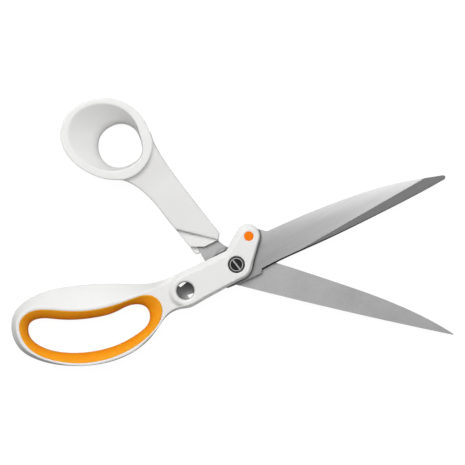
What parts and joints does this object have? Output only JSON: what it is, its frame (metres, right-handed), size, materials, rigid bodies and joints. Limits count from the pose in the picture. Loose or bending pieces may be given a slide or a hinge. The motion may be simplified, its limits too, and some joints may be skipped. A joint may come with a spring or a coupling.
{
  "type": "fabric shears",
  "caption": "Long pivoting fabric shears with a bent white finger handle, soft orange liner, funnel-shaped thumb ring and slotted tension screw.",
  "frame": {"origin": "on the pivot axis, in the plane that the shears lie on, at the back face of the pivot nut", "axes": "+X midway between the two blade tips, as stored; +Y towards the thumb ring; +Z along the pivot axis, out of the front of the shears"},
  "size_m": [0.2321, 0.1397, 0.017],
  "materials": {
    "white_plastic": "satin",
    "orange_grip": "soft",
    "orange_cap": "semi-gloss",
    "core_steel": "rolled",
    "blade_steel": "brushed",
    "pin_steel": "turned",
    "screw_steel": "blackened, bright in the slot",
    "black_plastic": "satin",
    "washer_plastic": "smooth"
  },
  "bodies": {
    "finger_half": {"finger_handle": "white_plastic", "handle_core": "core_steel", "finger_grip": "orange_grip", "front_blade": "blade_steel", "link_pin": "pin_steel", "link_retainer": "pin_steel", "link_cap": "orange_cap", "pivot_bushing": "black_plastic"},
    "thumb_half": {"rear_blade": "blade_steel", "thumb_handle": "white_plastic", "pivot_nut": "pin_steel", "blade_washer": "washer_plastic"},
    "pivot_screw": {"pivot_screw": "screw_steel", "spring_washer": "pin_steel"}
  },
  "joints": [
    {"name": "shears_pivot", "type": "hinge", "parent": "finger_half", "child": "thumb_half", "pos_m": [0, 0, 0], "axis": [0, 0, 1], "range_deg": [-30, 40.4]},
    {"name": "tension_screw", "type": "hinge", "parent": "thumb_half", "child": "pivot_screw", "pos_m": [0, 0, 0], "axis": [0, 0, 1], "range_deg": [-90, 90]}
  ]
}
